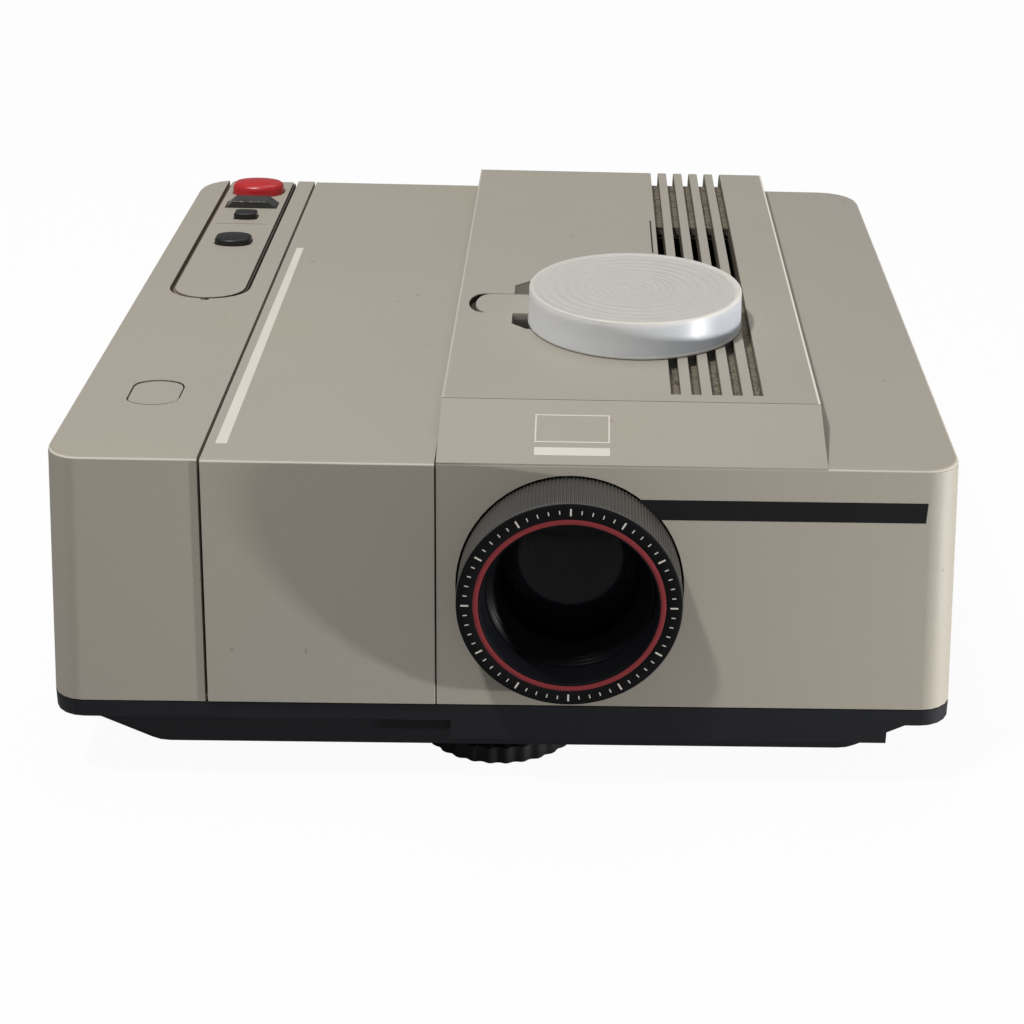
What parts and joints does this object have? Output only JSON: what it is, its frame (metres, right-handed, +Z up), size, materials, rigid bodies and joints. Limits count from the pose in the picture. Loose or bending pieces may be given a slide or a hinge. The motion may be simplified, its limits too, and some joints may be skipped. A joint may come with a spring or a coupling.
{
  "type": "slide projector",
  "caption": "Tabletop slide projector with a straight tray channel under a hinged lid, a front lens, a raised vented lamp cover and a remote handset lying in its bay.",
  "frame": {"origin": "on the table, below the middle of the box around the object", "axes": "+X to the right seen from the front, +Y from the lens to the back, +Z up; the lens looks towards -Y"},
  "size_m": [0.2738, 0.303, 0.1244],
  "materials": {
    "shell": "fine-grained warm grey moulded plastic",
    "base": "matt black moulded plastic",
    "black": "satin black moulded plastic",
    "inner": "dark plain plastic of inner parts",
    "red": "glossy red plastic",
    "milky": "soft milky plastic",
    "rubber": "matt black rubber",
    "glass": "coated clear glass",
    "steel": "bare steel",
    "sheet": "plain aluminium sheet",
    "brass": "bare brass",
    "copper": "varnished copper wire",
    "board": "green lacquered board",
    "ceramic": "white ceramic",
    "ivory": "ivory gear plastic"
  },
  "bodies": {
    "root": {"base_tub": "base", "base_screw_1": "steel", "base_screw_2": "steel", "base_screw_3": "steel", "base_screw_4": "steel", "rear_foot_left": "rubber", "rear_foot_right": "rubber", "control_housing": "shell", "power_switch": "black", "tray_channel": "inner", "lid_hinge_pin": "steel", "optics_housing": "shell", "cover_hinge_pin": "steel", "tray_motor": "steel", "pusher_rod": "steel", "pusher_motor": "steel", "blower_duct": "sheet", "blower_motor": "steel", "transformer_core": "steel", "transformer_coil": "copper", "circuit_board": "board", "capacitor": "sheet", "socket_plate": "inner", "mains_inlet": "inner", "remote_socket": "inner", "fuse_cap": "inner", "optical_bench": "sheet", "guide_rod_left": "steel", "guide_rod_right": "steel", "slide_gate": "inner", "focus_motor": "steel", "lamp_house": "sheet", "lamp_socket": "ceramic", "lamp": "glass", "lamp_mirror": "sheet", "condenser_lens": "glass", "heat_glass": "glass"},
    "lid": {"tray_lid": "shell"},
    "cover": {"lamp_cover": "shell"},
    "latch": {"cover_latch": "shell"},
    "cap": {"lens_cap": "milky"},
    "remote": {"remote_handset": "shell"},
    "key_red": {"remote_key_red": "red"},
    "rocker": {"remote_rocker": "black"},
    "key_small": {"remote_key_small": "black"},
    "key_large": {"remote_key_large": "black"},
    "power": {"power_button": "shell"},
    "carriage": {"lens_carriage": "inner"},
    "lens": {"lens_barrel": "black", "lens_red_ring": "red", "front_lens": "glass", "rear_lens": "glass"},
    "stem": {"foot_stem": "steel"},
    "foot": {"foot_disc": "rubber"},
    "feed_gear": {"tray_gear": "ivory"},
    "feed_pinion": {"motor_pinion": "brass"},
    "pusher": {"slide_pusher": "ivory"},
    "change_pinion": {"pusher_pinion": "brass"},
    "drum": {"blower_drum": "inner"}
  },
  "joints": [
    {"name": "lid_swing", "type": "hinge", "parent": "root", "child": "lid", "pos_m": [-0.055, 0.14402, 0.097], "axis": [-1, 0, 0], "range_deg": [0, 75]},
    {"name": "cover_swing", "type": "hinge", "parent": "root", "child": "cover", "pos_m": [0.0892, 0, 0.106], "axis": [0, 1, 0], "range_deg": [0, 55]},
    {"name": "latch_slide", "type": "slide", "parent": "cover", "child": "latch", "axis": [1, 0, 0], "range_m": [-0.002, 0], "stiffness_N_per_m": 150, "springref_m": 0.001},
    {"name": "cap_lift", "type": "slide", "parent": "cover", "child": "cap", "axis": [0, 0, 1], "range_m": [0, 0.05]},
    {"name": "remote_lift", "type": "slide", "parent": "root", "child": "remote", "axis": [0, 0, 1], "range_m": [0, 0.04]},
    {"name": "red_press", "type": "slide", "parent": "remote", "child": "key_red", "axis": [0, 0, -1], "range_m": [0, 0.0015], "stiffness_N_per_m": 300, "springref_m": -0.002},
    {"name": "rocker_tilt", "type": "hinge", "parent": "remote", "child": "rocker", "pos_m": [-0.1109, 0.11492, 0.1005], "axis": [0, 1, 0], "range_deg": [-4, 4], "stiffness_Nm_per_rad": 0.05},
    {"name": "small_press", "type": "slide", "parent": "remote", "child": "key_small", "axis": [0, 0, -1], "range_m": [0, 0.0015], "stiffness_N_per_m": 300, "springref_m": -0.002},
    {"name": "large_press", "type": "slide", "parent": "remote", "child": "key_large", "axis": [0, 0, -1], "range_m": [0, 0.0015], "stiffness_N_per_m": 300, "springref_m": -0.002},
    {"name": "power_press", "type": "slide", "parent": "root", "child": "power", "axis": [0, 0, -1], "range_m": [0, 0.0025], "stiffness_N_per_m": 300, "springref_m": -0.002},
    {"name": "focus_travel", "type": "slide", "parent": "root", "child": "carriage", "axis": [0, -1, 0], "range_m": [-0.0031, 0.0091]},
    {"name": "focus_turn", "type": "hinge", "parent": "carriage", "child": "lens", "pos_m": [0.0192, 0, 0.0655], "axis": [0, -1, 0], "range_deg": [-90, 270]},
    {"name": "foot_height", "type": "slide", "parent": "root", "child": "stem", "axis": [0, 0, -1], "range_m": [0, 0.0081]},
    {"name": "foot_turn", "type": "hinge", "parent": "stem", "child": "foot", "pos_m": [-0.0024, -0.11258, 0], "axis": [0, 0, 1], "range_deg": [0, 960]},
    {"name": "tray_feed", "type": "hinge", "parent": "root", "child": "feed_gear", "pos_m": [-0.09785, -0.05498, 0.04], "axis": [0, 0, 1], "continuous": true},
    {"name": "pinion_turn", "type": "hinge", "parent": "root", "child": "feed_pinion", "pos_m": [-0.10415, -0.03812, 0.04], "axis": [0, 0, 1], "continuous": true},
    {"name": "pusher_stroke", "type": "slide", "parent": "root", "child": "pusher", "axis": [1, 0, 0], "range_m": [0, 0.074]},
    {"name": "change_turn", "type": "hinge", "parent": "root", "child": "change_pinion", "pos_m": [-0.031, -0.03093, 0.021], "axis": [0, 0, 1], "range_deg": [-535, 1]},
    {"name": "blower_spin", "type": "hinge", "parent": "root", "child": "drum", "pos_m": [0.0635, 0, 0.05], "axis": [0, 1, 0], "continuous": true}
  ],
  "couplings": [
    {"joint": "focus_travel", "follows": "focus_turn", "m_per_rad": 0.0019099},
    {"joint": "foot_height", "follows": "foot_turn", "m_per_rad": 0.00047746},
    {"joint": "pinion_turn", "follows": "tray_feed", "ratio": -3.5},
    {"joint": "change_turn", "follows": "pusher_stroke", "rad_per_m": -125}
  ]
}
